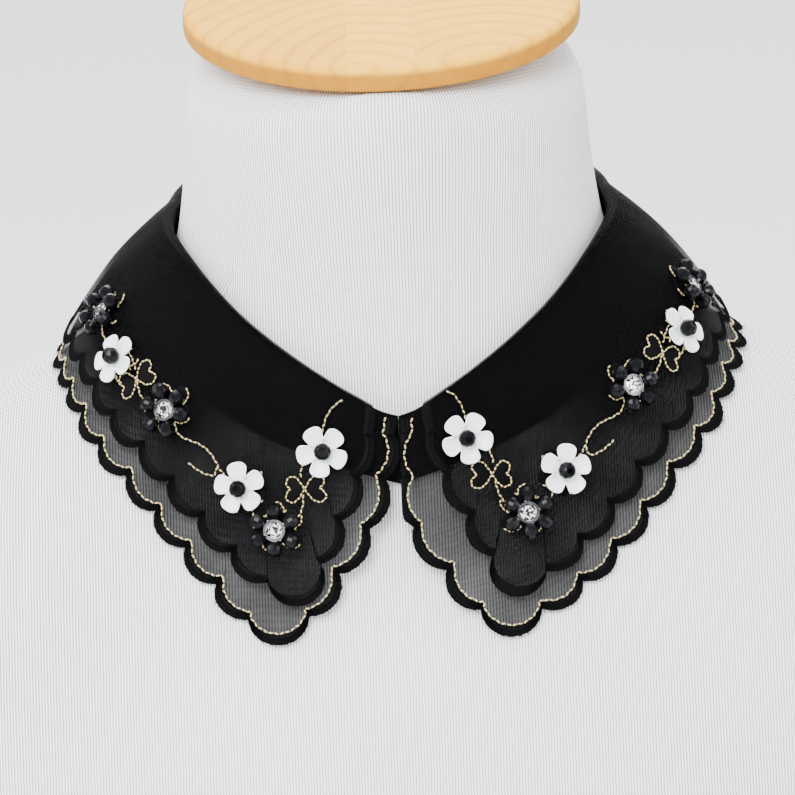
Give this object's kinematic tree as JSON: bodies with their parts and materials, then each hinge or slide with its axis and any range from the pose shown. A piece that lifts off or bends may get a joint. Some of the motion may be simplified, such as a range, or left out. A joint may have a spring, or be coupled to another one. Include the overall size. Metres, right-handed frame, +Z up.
{
  "type": "embroidered organza collar on a dress form",
  "caption": "Detachable black organza collar with a neck stand, two scalloped falls and applied flowers, worn by a limbless neck-and-shoulder dress form with a wooden neck cap.",
  "frame": {"origin": "centre of the form's flat underside, under the middle of its width and depth", "axes": "+Z up, -Y towards the wearer's front, +X towards the wearer's left"},
  "size_m": [0.357, 0.212, 0.3201],
  "materials": {
    "jersey": "white fine rib-knit cotton jersey",
    "maple": "turned light maple under clear lacquer",
    "organza_doubled": "doubled black organza, close and slightly lustrous",
    "organza": "sheer black organza",
    "satin_stitch": "black satin-stitched embroidery thread",
    "gold_thread": "pale gold metallised embroidery thread",
    "white_flower": "white moulded plastic, soft gloss",
    "black_beads": "black faceted glass",
    "crystal": "clear faceted rhinestone",
    "silver": "bright plated claw setting"
  },
  "bodies": {
    "root": {"form": "jersey", "neck_cap": "maple", "neck_stand": "organza_doubled", "fall_lower": "organza", "fall_upper": "organza", "white_flower_r1": "white_flower", "white_flower_r2": "white_flower", "white_flower_r3": "white_flower", "white_flower_l1": "white_flower", "white_flower_l2": "white_flower", "white_flower_l3": "white_flower", "bead_flower_r1": "black_beads", "bead_flower_r2": "black_beads", "bead_flower_r3": "black_beads", "bead_flower_l1": "black_beads", "bead_flower_l2": "black_beads", "bead_flower_l3": "black_beads"}
  },
  "joints": []
}
